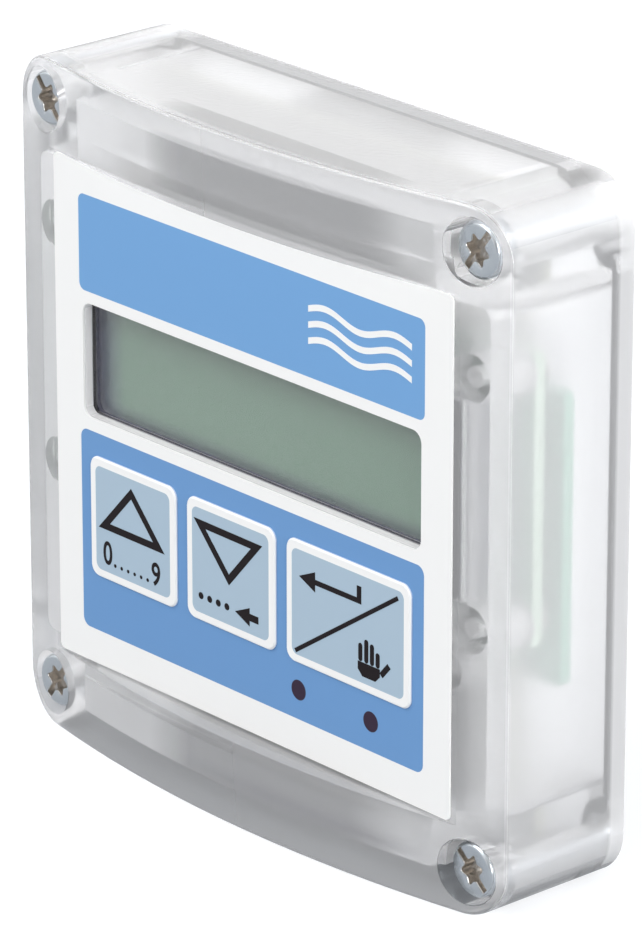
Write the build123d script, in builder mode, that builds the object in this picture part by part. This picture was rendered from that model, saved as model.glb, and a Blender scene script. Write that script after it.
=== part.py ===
from build123d import *

import os
from math import cos, radians, sin, sqrt

# Front module of a flow batch controller, in millimetres
# X runs to the right, Y to the back and Z up, as seen from the front
# The origin is the middle of the rear mounting face of the cover
# Every height is measured forwards from that face, along the normal of Plane.XZ

# Display window, cut through the foil and sunk into the clear floor behind it
window_width = 61.4
window_height = 14.8
window_radius = 1.5
window_recess = 1.3

# Keys embossed in the foil, in one row from left to right
key_names = ("up", "down", "enter")
narrow_key_width = 16.3
wide_key_width = 22.05
key_height = 15.8
key_gap = 2.0
key_radius = 1.5
key_emboss = 0.35
key_edge = 0.2

# Front foil, laid out upwards from the lamps to the panel above the window
lamp_side_margin = 13.8
lamp_pitch = 12.9
lamp_margin = 8.3
lamp_key_gap = 3.65
key_window_gap = 4.65
panel_height = 18.0
window_side_margin = 5.2
foil_thickness = 0.22
foil_corner_radius = 0.8
foil_clearance = 0.25
foil_width = window_width + 2 * window_side_margin
foil_height = lamp_margin + lamp_key_gap + key_height + key_window_gap + window_height + panel_height

# Cover outline and curved front
cover_side_margin = 8.1
cover_end_margin = 11.4
side_depth = 19.0
front_bulge = 5.0
corner_radius = 6.5
front_edge_radius = 0.5
cover_width = foil_width + 2 * cover_side_margin
cover_height = foil_height + 2 * cover_end_margin

# Cover walls, corner posts and bosses
side_wall = 4.0
front_wall = 3.0
floor_thickness = 2.5
post_size = 12.5
cavity_corner_radius = 1.5
pocket_depth = 3.5
pocket_rib = 2.5
boss_diameter = 6.0
boss_hole_skin = 1.0
locating_rib = 1.0
locating_rib_height = 1.2

# Cover screws, M4 by 20 with a plain shank and a slot across a six-lobe recess
screw_inset = 5.6
screw_diameter = 4.0
screw_length = 20.0
screw_thread_length = 3.1
screw_shank_diameter = 3.5
screw_hole_diameter = 4.5
screw_head_diameter = 7.0
screw_head_height = 2.6
screw_head_edge = 0.7
screw_tip_chamfer = 0.6
counterbore_diameter = 8.2
head_sink = 0.8
slot_width = 1.0
slot_depth = 1.0
slot_length = 6.2
lobe_count = 6
lobe_tip_radius = 1.98
lobe_root_radius = 1.4
lobe_depth = 1.7
screw_turns = {
    "top_left": (-1, 1, -51.0),
    "top_right": (1, 1, 52.0),
    "bottom_left": (-1, -1, 54.0),
    "bottom_right": (1, -1, -41.0),
}

# Rear seal, which runs along the walls and passes inside the screws
seal_width = 1.6
seal_depth = 2.2
seal_lip = 1.2
seal_bend_radius = 1.2

# Display module
display_stack = 4.8
display_board_margin = 5.7
display_hole_inset = 2.5
glass_margin = 4.2
glass_thickness = 2.2
bezel_sheet = 0.5
bezel_radius = 0.8
bezel_clearance = 0.2
bezel_tab_width = 3.0
bezel_tab_reach = 0.8
bezel_tab_x = 24.0
contact_strip_width = 1.8
contact_strip_inset = 0.6
contact_strip_end = 3.0

# Keypad board with its three switches and two lamps
keypad_side_gap = 4.0
keypad_standoff = 3.5
keypad_hole_inset = 3.0
board_gap = 0.5
switch_size = 6.2
switch_clearance = 0.1
switch_margin = 0.5
switch_edge = 0.3
plunger_diameter = 3.2
plunger_flange_diameter = 4.4
plunger_flange_height = 0.6
plunger_travel = 0.25
plunger_clearance = 0.05
plunger_floor_gap = 0.4
plunger_tip_edge = 0.3
plunger_bore_chamber = 0.3
led_diameter = 3.0
led_edge = 0.4
led_flange_diameter = 3.8
led_flange_height = 1.0
led_well_depth = 1.0
led_clearance = 0.2

# Main board, spacers and board screws
board_thickness = 1.6
board_side_gap = 0.5
board_end_gap = 2.0
spacer_length = 4.4
spacer_side_inset = 4.0
spacer_end_inset = 2.4
spacer_sides = 6
spacer_flats = 4.5
spacer_stud_length = 4.0
spacer_thread_depth = 3.4
small_screw_diameter = 2.4
small_screw_tip_gap = 0.3
small_head_diameter = 4.6
small_head_height = 1.7
small_head_edge = 0.5
small_slot_width = 0.6
small_slot_length = 2.8
small_slot_depth = 0.8
thread_clearance = 0.05
board_hole_clearance = 0.3

# Connectors between the boards
display_plug_width = 40.6
keypad_plug_width = 20.3
plug_depth = 5.0
plug_chamfer = 0.5
display_plug_inset = 7.2
keypad_plug_inset = 9.0

# Terminal blocks on the back of the main board
terminal_pitch = 5.0
terminal_end = 0.6
terminal_depth = 8.2
terminal_height = 10.0
terminal_edge = 0.4
terminal_shoulder = 7.0
terminal_slope = 1.6
terminal_back_chamfer = 1.2
upper_poles = 4
lower_poles = 6
entry_width = 2.8
entry_height = 3.0
entry_base = 1.0
entry_depth = 5.0
well_diameter = 3.4
well_depth = 5.0
well_offset = 3.9
terminal_screw_clearance = 0.15
terminal_screw_height = 1.8
terminal_slot_width = 0.6
terminal_slot_depth = 0.8

# Parts on the back of the main board
relay_width = 7.2
relay_length = 15.5
relay_height = 9.0
relay_side_inset = 7.0
relay_gap = 3.5
relay_edge = 0.5
capacitor_diameter = 8.0
capacitor_height = 8.5
capacitor_side_inset = 8.5
capacitor_z = 17.0
capacitor_base_height = 1.0
capacitor_neck = 0.35
capacitor_neck_height = 0.8
capacitor_edge = 0.5
chip_width = 10.3
chip_depth = 7.5
chip_height = 2.3
chip_x = 4.0
chip_z = -2.0
chip_chamfer = 0.3
lead_pitch = 1.27
lead_count = 8
lead_width = 0.42
lead_thickness = 0.25
lead_reach = 1.4
lead_rise = 1.0

# Heights of the main levels above the rear face
crown_height = side_depth + front_bulge
floor_front = crown_height - pocket_depth
floor_rear = floor_front - floor_thickness
display_front = floor_rear - display_stack
display_rear = display_front - board_thickness
keypad_front = floor_rear - keypad_standoff
keypad_rear = keypad_front - board_thickness
main_front = keypad_rear - spacer_length
main_rear = main_front - board_thickness

# Places that follow from the outline
half_width = cover_width / 2
half_height = cover_height / 2
led_z = lamp_margin - foil_height / 2
right_led_x = foil_width / 2 - lamp_side_margin
led_xs = (right_led_x - lamp_pitch, right_led_x)
key_row_z = led_z + lamp_key_gap + key_height / 2
window_z = key_row_z + key_height / 2 + key_window_gap + window_height / 2
front_radius = (half_width**2 + front_bulge**2) / (2 * front_bulge)
cavity_width = cover_width - 2 * side_wall
cavity_height = cover_height - 2 * side_wall
post_inset = post_size - side_wall
pocket_height = foil_height + 2 * foil_clearance
screw_x = half_width - screw_inset
screw_z = half_height - screw_inset


def front_height(x):
    # Height of the curved front at a distance x from the middle
    return crown_height - front_radius + sqrt(front_radius**2 - x**2)


head_seat = front_height(screw_x) - head_sink - screw_head_height

# Places of the keys along their row
key_widths = (narrow_key_width, narrow_key_width, wide_key_width)
key_row_width = sum(key_widths) + 2 * key_gap
key_xs = [
    sum(key_widths[:index]) + index * key_gap + key_widths[index] / 2 - key_row_width / 2
    for index in range(len(key_widths))
]

# Display cell, its bezel and its board, from the window outwards
glass_width = window_width + 2 * glass_margin
glass_height = window_height + 2 * glass_margin
bezel_width = glass_width + 2 * (bezel_clearance + bezel_sheet)
bezel_height = glass_height + 2 * (bezel_clearance + bezel_sheet)
display_board_width = cavity_width - 2 * board_side_gap
display_board_height = bezel_height + 2 * display_board_margin
display_hole_x = display_board_width / 2 - display_hole_inset
display_hole_z = display_board_height / 2 - display_hole_inset

# Keypad board, below the display board and above the lower posts
keypad_top = window_z - display_board_height / 2 - board_gap
keypad_bottom = post_size + board_side_gap - half_height
keypad_board_width = cavity_width - 2 * keypad_side_gap
keypad_board_height = keypad_top - keypad_bottom
keypad_z = (keypad_top + keypad_bottom) / 2
keypad_hole_x = keypad_board_width / 2 - keypad_hole_inset
keypad_hole_z = keypad_top - keypad_hole_inset
switch_z = keypad_top - switch_margin - switch_size / 2

# Main board, between the posts at both sides
main_board_width = cover_width - 2 * (post_size + board_side_gap)
main_board_height = cavity_height - 2 * board_end_gap
spacer_x = main_board_width / 2 - spacer_side_inset
spacer_z = half_height - post_size - board_side_gap - spacer_end_inset
display_plug_z = window_z + display_board_height / 2 - display_plug_inset
keypad_plug_z = keypad_bottom + keypad_plug_inset
relay_x = relay_side_inset - main_board_width / 2
relay_z = (relay_length + relay_gap) / 2
capacitor_x = main_board_width / 2 - capacitor_side_inset

# Holes that the screws and plungers pass through
boss_hole_end = floor_rear - boss_hole_skin
boss_hole_radius = small_screw_diameter / 2 + thread_clearance
board_hole_radius = small_screw_diameter / 2 + board_hole_clearance
plunger_hole_radius = plunger_diameter / 2 + plunger_floor_gap

display_holes = [(sx * display_hole_x, window_z + sz * display_hole_z) for sx in (-1, 1) for sz in (-1, 1)]
keypad_holes = [(sx * keypad_hole_x, keypad_hole_z) for sx in (-1, 1)]
upper_spacers = [(sx * spacer_x, spacer_z) for sx in (-1, 1)]
lower_spacers = [(sx * spacer_x, -spacer_z) for sx in (-1, 1)]
spacer_places = upper_spacers + lower_spacers


os.makedirs("parts", exist_ok=True)


def seal_loop(grow):
    # Closed path of the seal, widened by grow on its outer side
    run_x = half_width - seal_lip - seal_width / 2
    run_z = half_height - seal_lip - seal_width / 2
    notch = screw_hole_diameter / 2 + seal_lip + seal_width / 2
    with BuildSketch() as loop:
        Rectangle(2 * run_x, 2 * run_z)
        with GridLocations(2 * run_x, 2 * run_z, 2, 2):
            Rectangle(2 * (run_x - screw_x + notch), 2 * (run_z - screw_z + notch), mode=Mode.SUBTRACT)
        inner_corners = loop.vertices().filter_by(
            lambda v: abs(v.X) < run_x - seal_width and abs(v.Y) < run_z - seal_width
        )
        fillet(inner_corners, notch)
        outer_corners = loop.vertices().filter_by(
            lambda v: abs(v.X) > run_x - seal_width / 2 or abs(v.Y) > run_z - seal_width / 2
        )
        fillet(outer_corners, seal_bend_radius)
        offset(amount=grow)
    return loop.sketch


def seal_ring():
    # Ring as wide as the seal
    with BuildSketch() as ring:
        add(seal_loop(seal_width / 2))
        add(seal_loop(-seal_width / 2), mode=Mode.SUBTRACT)
    return ring.sketch


# Clear cover with its foil pocket, cavity, corner posts, seal groove and bosses
with BuildPart() as cover:
    with BuildSketch(Plane.XY.offset(-half_height)):
        with BuildLine():
            Polyline(
                (half_width, -side_depth),
                (half_width, 0),
                (-half_width, 0),
                (-half_width, -side_depth),
            )
            ThreePointArc(
                (-half_width, -side_depth),
                (0, -crown_height),
                (half_width, -side_depth),
            )
        make_face()
    extrude(amount=cover_height)
    fillet(cover.edges().filter_by(Axis.Y), corner_radius)
    fillet(cover.faces().sort_by(Axis.Y)[0].edges(), front_edge_radius)

    # Flat pocket for the foil, which runs out into the curve at both sides
    with BuildSketch(Plane.XZ.offset(floor_front)):
        Rectangle(cover_width, pocket_height)
    extrude(amount=pocket_depth, mode=Mode.SUBTRACT)
    with BuildSketch(Plane.XZ.offset(floor_front - window_recess)):
        with Locations((0, window_z)):
            RectangleRounded(window_width, window_height, window_radius)
    extrude(amount=window_recess, mode=Mode.SUBTRACT)

    # Cavity between the corner posts
    with BuildSketch(Plane.XZ) as cavity_outline:
        Rectangle(cavity_width, cavity_height)
        with GridLocations(cavity_width, cavity_height, 2, 2):
            Rectangle(2 * post_inset, 2 * post_inset, mode=Mode.SUBTRACT)
        fillet(cavity_outline.vertices(), cavity_corner_radius)
    extrude(amount=floor_rear, mode=Mode.SUBTRACT)

    # Two deeper bands above and below the pocket, which follow the curved front
    band_half_width = half_width - post_size
    band_start = pocket_height / 2 + pocket_rib
    band_height = cavity_height / 2 - band_start
    band_end = front_height(band_half_width) - front_wall
    for band_low in (band_start, -cavity_height / 2):
        with BuildSketch(Plane.XY.offset(band_low)):
            with BuildLine():
                Polyline(
                    (band_half_width, -band_end),
                    (band_half_width, -floor_rear + front_wall),
                    (-band_half_width, -floor_rear + front_wall),
                    (-band_half_width, -band_end),
                )
                ThreePointArc(
                    (-band_half_width, -band_end),
                    (0, -crown_height + front_wall),
                    (band_half_width, -band_end),
                )
            make_face()
        extrude(amount=band_height, mode=Mode.SUBTRACT)

    # Seal groove in the rear face
    with BuildSketch(Plane.XZ):
        add(seal_ring())
    extrude(amount=seal_depth, mode=Mode.SUBTRACT)

    # Bosses for the three boards, each with a blind hole for its screw
    with BuildSketch(Plane.XZ.offset(display_front)):
        with Locations(*display_holes):
            Circle(boss_diameter / 2)
    extrude(amount=floor_rear - display_front)
    with BuildSketch(Plane.XZ.offset(keypad_front)):
        with Locations(*keypad_holes, *lower_spacers):
            Circle(boss_diameter / 2)
    extrude(amount=floor_rear - keypad_front)
    with BuildSketch(Plane.XZ.offset(keypad_rear)):
        with Locations(*upper_spacers):
            Circle(boss_diameter / 2)
    extrude(amount=floor_rear - keypad_rear)
    with BuildSketch(Plane.XZ.offset(keypad_rear)):
        with Locations(*display_holes, *keypad_holes, *spacer_places):
            Circle(boss_hole_radius)
    extrude(amount=boss_hole_end - keypad_rear, mode=Mode.SUBTRACT)

    # Low rib that holds the display bezel in place
    with BuildSketch(Plane.XZ.offset(floor_rear - locating_rib_height)):
        with Locations((0, window_z)):
            Rectangle(
                bezel_width + 2 * (bezel_clearance + locating_rib),
                bezel_height + 2 * (bezel_clearance + locating_rib),
            )
            Rectangle(bezel_width + 2 * bezel_clearance, bezel_height + 2 * bezel_clearance, mode=Mode.SUBTRACT)
    extrude(amount=locating_rib_height)

    # Holes for the key plungers and blind wells for the lamps
    with BuildSketch(Plane.XZ.offset(floor_rear)):
        with Locations(*[(x, switch_z) for x in key_xs]):
            Circle(plunger_hole_radius)
    extrude(amount=floor_thickness, mode=Mode.SUBTRACT)
    with BuildSketch(Plane.XZ.offset(floor_rear)):
        with Locations(*[(x, led_z) for x in led_xs]):
            Circle(led_diameter / 2 + led_clearance)
    extrude(amount=led_well_depth, mode=Mode.SUBTRACT)

    # Screw holes through the corner posts
    with BuildSketch(Plane.XZ):
        with GridLocations(2 * screw_x, 2 * screw_z, 2, 2):
            Circle(screw_hole_diameter / 2)
    extrude(amount=head_seat, mode=Mode.SUBTRACT)
    with BuildSketch(Plane.XZ.offset(head_seat)):
        with GridLocations(2 * screw_x, 2 * screw_z, 2, 2):
            Circle(counterbore_diameter / 2)
    extrude(amount=crown_height - head_seat, mode=Mode.SUBTRACT)
cover.part.label = "cover"
export_step(cover.part, "parts/cover.step")

# Rear seal, flush with the rear face when it is pressed home
with BuildPart() as rear_seal:
    with BuildSketch(Plane.XZ):
        add(seal_ring())
    extrude(amount=seal_depth)
rear_seal.part.label = "rear_seal"
export_step(rear_seal.part, "parts/rear_seal.step")

# Front foil, a formed film with a raised field for each key
with BuildPart() as front_foil:
    with BuildSketch(Plane.XZ.offset(floor_front)):
        RectangleRounded(foil_width, foil_height, foil_corner_radius)
    extrude(amount=foil_thickness)
    for key_x, key_width in zip(key_xs, key_widths):
        with BuildSketch(Plane.XZ.offset(floor_front + foil_thickness)):
            with Locations((key_x, key_row_z)):
                RectangleRounded(key_width, key_height, key_radius)
        extrude(amount=key_emboss)
    key_tops = front_foil.faces().sort_by(Axis.Y)[: len(key_xs)]
    chamfer(key_tops.edges(), key_edge)
    for key_x, key_width in zip(key_xs, key_widths):
        with BuildSketch(Plane.XZ.offset(floor_front)):
            with Locations((key_x, key_row_z)):
                RectangleRounded(
                    key_width - 2 * foil_thickness,
                    key_height - 2 * foil_thickness,
                    key_radius - foil_thickness,
                )
        extrude(amount=key_emboss, mode=Mode.SUBTRACT)
    with BuildSketch(Plane.XZ.offset(floor_front)):
        with Locations((0, window_z)):
            RectangleRounded(window_width, window_height, window_radius)
    extrude(amount=foil_thickness, mode=Mode.SUBTRACT)
front_foil.part.label = "front_foil"
export_step(front_foil.part, "parts/front_foil.step")

# Corners of the six-lobe recess, in turn at a lobe's tip and between two lobes
lobe_corners = [
    (radius * cos(radians(turn)), radius * sin(radians(turn)))
    for lobe in range(lobe_count)
    for radius, turn in (
        (lobe_tip_radius, 360 * lobe / lobe_count),
        (lobe_root_radius, 360 * (lobe + 0.5) / lobe_count),
    )
]

# Cover screws, each left at its own turn
for place, (side_x, side_z, turn) in screw_turns.items():
    seat = Plane(
        origin=(side_x * screw_x, -head_seat, side_z * screw_z),
        x_dir=(cos(radians(turn)), 0, sin(radians(turn))),
        z_dir=(0, -1, 0),
    )
    with BuildPart() as cover_screw:
        with BuildSketch(seat):
            Circle(screw_head_diameter / 2)
        extrude(amount=screw_head_height)
        chamfer(cover_screw.edges().sort_by(Axis.Y)[0], screw_head_edge)
        with BuildSketch(seat):
            Circle(screw_shank_diameter / 2)
        extrude(amount=-screw_length)
        with BuildSketch(seat.offset(-screw_length)):
            Circle(screw_diameter / 2)
        extrude(amount=screw_thread_length)
        chamfer(cover_screw.edges().sort_by(Axis.Y)[-1], screw_tip_chamfer)
        with BuildSketch(seat.offset(screw_head_height - slot_depth)):
            Rectangle(slot_length, slot_width)
        extrude(amount=slot_depth, mode=Mode.SUBTRACT)
        with BuildSketch(seat.offset(screw_head_height - lobe_depth)):
            with BuildLine():
                Polyline(*lobe_corners, close=True)
            make_face()
        extrude(amount=lobe_depth, mode=Mode.SUBTRACT)
    cover_screw.part.label = f"cover_screw_{place}"
    export_step(cover_screw.part, f"parts/cover_screw_{place}.step")

# Display cell of two bonded sheets of glass
with BuildPart() as display_glass:
    with BuildSketch(Plane.XZ.offset(floor_rear - bezel_sheet - glass_thickness)):
        with Locations((0, window_z)):
            Rectangle(glass_width, glass_height)
    extrude(amount=glass_thickness)
display_glass.part.label = "display_glass"
export_step(display_glass.part, "parts/display_glass.step")

# Pressed bezel that clamps the glass to its board with four tabs
tab_z = bezel_height / 2 - bezel_sheet / 2
with BuildPart() as display_bezel:
    with BuildSketch(Plane.XZ.offset(display_front)):
        with Locations((0, window_z)):
            RectangleRounded(bezel_width, bezel_height, bezel_radius)
    extrude(amount=display_stack)
    with BuildSketch(Plane.XZ.offset(display_front)):
        with Locations((0, window_z)):
            Rectangle(bezel_width - 2 * bezel_sheet, bezel_height - 2 * bezel_sheet)
    extrude(amount=display_stack - bezel_sheet, mode=Mode.SUBTRACT)
    with BuildSketch(Plane.XZ.offset(display_front)):
        with Locations((0, window_z)):
            RectangleRounded(window_width, window_height, window_radius)
    extrude(amount=display_stack, mode=Mode.SUBTRACT)
    with BuildSketch(Plane.XZ.offset(display_rear - bezel_tab_reach)):
        with Locations((0, window_z)):
            with GridLocations(2 * bezel_tab_x, 2 * tab_z, 2, 2):
                Rectangle(bezel_tab_width, bezel_sheet)
    extrude(amount=board_thickness + bezel_tab_reach)
display_bezel.part.label = "display_bezel"
export_step(display_bezel.part, "parts/display_bezel.step")

# Two rubber contact strips between the glass and its board
with BuildPart() as display_contact_strips:
    with BuildSketch(Plane.XZ.offset(display_front)):
        with Locations((0, window_z)):
            with GridLocations(0, glass_height - contact_strip_width - 2 * contact_strip_inset, 1, 2):
                Rectangle(glass_width - 2 * contact_strip_end, contact_strip_width)
    extrude(amount=display_stack - bezel_sheet - glass_thickness)
display_contact_strips.part.label = "display_contact_strips"
export_step(display_contact_strips.part, "parts/display_contact_strips.step")

with BuildPart() as display_board:
    with BuildSketch(Plane.XZ.offset(display_rear)):
        with Locations((0, window_z)):
            Rectangle(display_board_width, display_board_height)
            with GridLocations(2 * bezel_tab_x, 2 * tab_z, 2, 2):
                Rectangle(
                    bezel_tab_width + 2 * bezel_clearance,
                    bezel_sheet + 2 * bezel_clearance,
                    mode=Mode.SUBTRACT,
                )
        with Locations(*display_holes):
            Circle(board_hole_radius, mode=Mode.SUBTRACT)
    extrude(amount=board_thickness)
display_board.part.label = "display_board"
export_step(display_board.part, "parts/display_board.step")

with BuildPart() as keypad_board:
    with BuildSketch(Plane.XZ.offset(keypad_rear)):
        with Locations((0, keypad_z)):
            Rectangle(keypad_board_width, keypad_board_height)
        with Locations(*keypad_holes, *lower_spacers):
            Circle(board_hole_radius, mode=Mode.SUBTRACT)
    extrude(amount=board_thickness)
keypad_board.part.label = "keypad_board"
export_step(keypad_board.part, "parts/keypad_board.step")

# Key switches, each with a chamber that traps its plunger
switch_top = floor_rear - switch_clearance
flange_top = switch_top - plunger_bore_chamber - plunger_clearance
flange_bottom = flange_top - plunger_flange_height
chamber_floor = flange_bottom - plunger_travel - plunger_clearance
plunger_top = floor_front + key_emboss - plunger_clearance
for key_name, key_x in zip(key_names, key_xs):
    with BuildPart() as key_switch:
        with BuildSketch(Plane.XZ.offset(keypad_front)):
            with Locations((key_x, switch_z)):
                Rectangle(switch_size, switch_size)
        extrude(amount=switch_top - keypad_front)
        chamfer(key_switch.faces().sort_by(Axis.Y)[0].edges(), switch_edge)
        with BuildSketch(Plane.XZ.offset(chamber_floor)):
            with Locations((key_x, switch_z)):
                Circle(plunger_flange_diameter / 2 + plunger_clearance)
        extrude(amount=flange_top + plunger_clearance - chamber_floor, mode=Mode.SUBTRACT)
        with BuildSketch(Plane.XZ.offset(chamber_floor)):
            with Locations((key_x, switch_z)):
                Circle(plunger_diameter / 2 + plunger_clearance)
        extrude(amount=switch_top - chamber_floor, mode=Mode.SUBTRACT)
    key_switch.part.label = f"key_switch_{key_name}"
    export_step(key_switch.part, f"parts/key_switch_{key_name}.step")

    with BuildPart() as key_plunger:
        with BuildSketch(Plane.XZ.offset(flange_bottom)):
            with Locations((key_x, switch_z)):
                Circle(plunger_flange_diameter / 2)
        extrude(amount=plunger_flange_height)
        with BuildSketch(Plane.XZ.offset(flange_bottom)):
            with Locations((key_x, switch_z)):
                Circle(plunger_diameter / 2)
        extrude(amount=plunger_top - flange_bottom)
        chamfer(key_plunger.edges().sort_by(Axis.Y)[0], plunger_tip_edge)
    key_plunger.part.label = f"key_plunger_{key_name}"
    export_step(key_plunger.part, f"parts/key_plunger_{key_name}.step")

# Status lamps, whose flat tips stand in the wells of the cover
led_top = floor_rear + led_well_depth - led_clearance
for lamp_name, lamp_x in zip(("left", "right"), led_xs):
    with BuildPart() as status_led:
        with BuildSketch(Plane.XY.offset(led_z)):
            with BuildLine():
                Polyline(
                    (lamp_x, -led_top),
                    (lamp_x, -keypad_front),
                    (lamp_x + led_flange_diameter / 2, -keypad_front),
                    (lamp_x + led_flange_diameter / 2, -keypad_front - led_flange_height),
                    (lamp_x + led_diameter / 2, -keypad_front - led_flange_height),
                    (lamp_x + led_diameter / 2, -led_top + led_edge),
                    (lamp_x + led_diameter / 2 - led_edge, -led_top),
                    close=True,
                )
            make_face()
        revolve(axis=Axis((lamp_x, 0, led_z), (0, 1, 0)), revolution_arc=360)
    status_led.part.label = f"status_led_{lamp_name}"
    export_step(status_led.part, f"parts/status_led_{lamp_name}.step")

with BuildPart() as main_board:
    with BuildSketch(Plane.XZ.offset(main_rear)):
        Rectangle(main_board_width, main_board_height)
        with Locations(*spacer_places):
            Circle(board_hole_radius, mode=Mode.SUBTRACT)
    extrude(amount=board_thickness)
main_board.part.label = "main_board"
export_step(main_board.part, "parts/main_board.step")

# Hexagon spacers, with a stud in front and a threaded hole behind
with BuildPart() as board_spacers:
    with BuildSketch(Plane.XZ.offset(main_front)):
        with Locations(*spacer_places):
            RegularPolygon(spacer_flats / 2, spacer_sides, major_radius=False, rotation=180 / spacer_sides)
    extrude(amount=spacer_length)
    with BuildSketch(Plane.XZ.offset(keypad_rear)):
        with Locations(*spacer_places):
            Circle(small_screw_diameter / 2)
    extrude(amount=spacer_stud_length)
    with BuildSketch(Plane.XZ.offset(main_front)):
        with Locations(*spacer_places):
            Circle(boss_hole_radius)
    extrude(amount=spacer_thread_depth, mode=Mode.SUBTRACT)
board_spacers.part.label = "board_spacers"
export_step(board_spacers.part, "parts/board_spacers.step")


def board_screws(places, seat_height, tip_height):
    # Pan-head screws with a cross slot, driven forwards from the back of a board
    with BuildPart() as screws:
        with BuildSketch(Plane.XZ.offset(seat_height)):
            with Locations(*places):
                Circle(small_head_diameter / 2)
        extrude(amount=-small_head_height)
        chamfer(screws.faces().sort_by(Axis.Y)[-len(places) :].edges(), small_head_edge)
        with BuildSketch(Plane.XZ.offset(seat_height)):
            with Locations(*places):
                Circle(small_screw_diameter / 2)
        extrude(amount=tip_height - seat_height)
        with BuildSketch(Plane.XZ.offset(seat_height - small_head_height)):
            with Locations(*places):
                Rectangle(small_slot_length, small_slot_width)
                Rectangle(small_slot_width, small_slot_length)
        extrude(amount=small_slot_depth, mode=Mode.SUBTRACT)
    return screws


display_screws = board_screws(display_holes, display_rear, boss_hole_end - small_screw_tip_gap)
display_screws.part.label = "display_screws"
export_step(display_screws.part, "parts/display_screws.step")

keypad_screws = board_screws(keypad_holes, keypad_rear, boss_hole_end - small_screw_tip_gap)
keypad_screws.part.label = "keypad_screws"
export_step(keypad_screws.part, "parts/keypad_screws.step")

main_screws = board_screws(spacer_places, main_rear, main_front + spacer_thread_depth - small_screw_tip_gap)
main_screws.part.label = "main_screws"
export_step(main_screws.part, "parts/main_screws.step")


def board_plug(width, z, front_level):
    # Connector that fills the space between the main board and a board in front of it
    with BuildPart() as plug:
        with BuildSketch(Plane.XZ.offset(main_front)):
            with Locations((0, z)):
                Rectangle(width, plug_depth)
        extrude(amount=front_level - main_front)
        chamfer(plug.edges().filter_by(Axis.Y), plug_chamfer)
    return plug


display_plug = board_plug(display_plug_width, display_plug_z, display_rear)
display_plug.part.label = "display_plug"
export_step(display_plug.part, "parts/display_plug.step")

keypad_plug = board_plug(keypad_plug_width, keypad_plug_z, keypad_rear)
keypad_plug.part.label = "keypad_plug"
export_step(keypad_plug.part, "parts/keypad_plug.step")


def terminal_block(poles, side):
    # Block at the upper edge for side 1 and at the lower edge for side -1
    length = poles * terminal_pitch + 2 * terminal_end
    outer_z = side * (main_board_height / 2 - terminal_edge)
    inner_z = outer_z - side * terminal_depth
    end = Plane(origin=(-side * length / 2, -main_rear, outer_z), x_dir=(0, 0, -side), z_dir=(side, 0, 0))
    inner_face = Plane(origin=(0, -main_rear, inner_z), x_dir=(1, 0, 0), z_dir=(0, 0, -side))
    with BuildPart() as block:
        with BuildSketch(end):
            with BuildLine():
                Polyline(
                    (0, 0),
                    (terminal_depth, 0),
                    (terminal_depth, terminal_shoulder),
                    (terminal_depth - terminal_slope, terminal_height),
                    (terminal_back_chamfer, terminal_height),
                    (0, terminal_height - terminal_back_chamfer),
                    close=True,
                )
            make_face()
        extrude(amount=length)
        with BuildSketch(inner_face):
            with Locations((0, -side * (entry_base + entry_height / 2))):
                with GridLocations(terminal_pitch, 0, poles, 1):
                    Rectangle(entry_width, entry_height)
        extrude(amount=-entry_depth, mode=Mode.SUBTRACT)
        with BuildSketch(Plane.XZ.offset(main_rear - terminal_height)):
            with Locations((0, outer_z - side * well_offset)):
                with GridLocations(terminal_pitch, 0, poles, 1):
                    Circle(well_diameter / 2)
        extrude(amount=well_depth, mode=Mode.SUBTRACT)
    return block


terminal_block_upper = terminal_block(upper_poles, 1)
terminal_block_upper.part.label = "terminal_block_upper"
export_step(terminal_block_upper.part, "parts/terminal_block_upper.step")

terminal_block_lower = terminal_block(lower_poles, -1)
terminal_block_lower.part.label = "terminal_block_lower"
export_step(terminal_block_lower.part, "parts/terminal_block_lower.step")

# Clamping screws at the bottom of the terminal wells
well_floor = main_rear - terminal_height + well_depth
with BuildPart() as terminal_screws:
    for poles, side in ((upper_poles, 1), (lower_poles, -1)):
        screw_row = side * (main_board_height / 2 - terminal_edge - well_offset)
        with BuildSketch(Plane.XZ.offset(well_floor)):
            with Locations((0, screw_row)):
                with GridLocations(terminal_pitch, 0, poles, 1):
                    Circle(well_diameter / 2 - terminal_screw_clearance)
        extrude(amount=-terminal_screw_height)
        with BuildSketch(Plane.XZ.offset(well_floor - terminal_screw_height)):
            with Locations((0, screw_row)):
                with GridLocations(terminal_pitch, 0, poles, 1):
                    Rectangle(well_diameter, terminal_slot_width)
        extrude(amount=terminal_slot_depth, mode=Mode.SUBTRACT)
terminal_screws.part.label = "terminal_screws"
export_step(terminal_screws.part, "parts/terminal_screws.step")

# Two relays, one above the other
for relay_name, relay_side in (("upper", 1), ("lower", -1)):
    with BuildPart() as relay:
        with BuildSketch(Plane.XZ.offset(main_rear)):
            with Locations((relay_x, relay_side * relay_z)):
                Rectangle(relay_width, relay_length)
        extrude(amount=-relay_height)
        chamfer(relay.faces().sort_by(Axis.Y)[-1].edges(), relay_edge)
        chamfer(relay.edges().filter_by(Axis.Y), relay_edge)
    relay.part.label = f"relay_{relay_name}"
    export_step(relay.part, f"parts/relay_{relay_name}.step")

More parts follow.
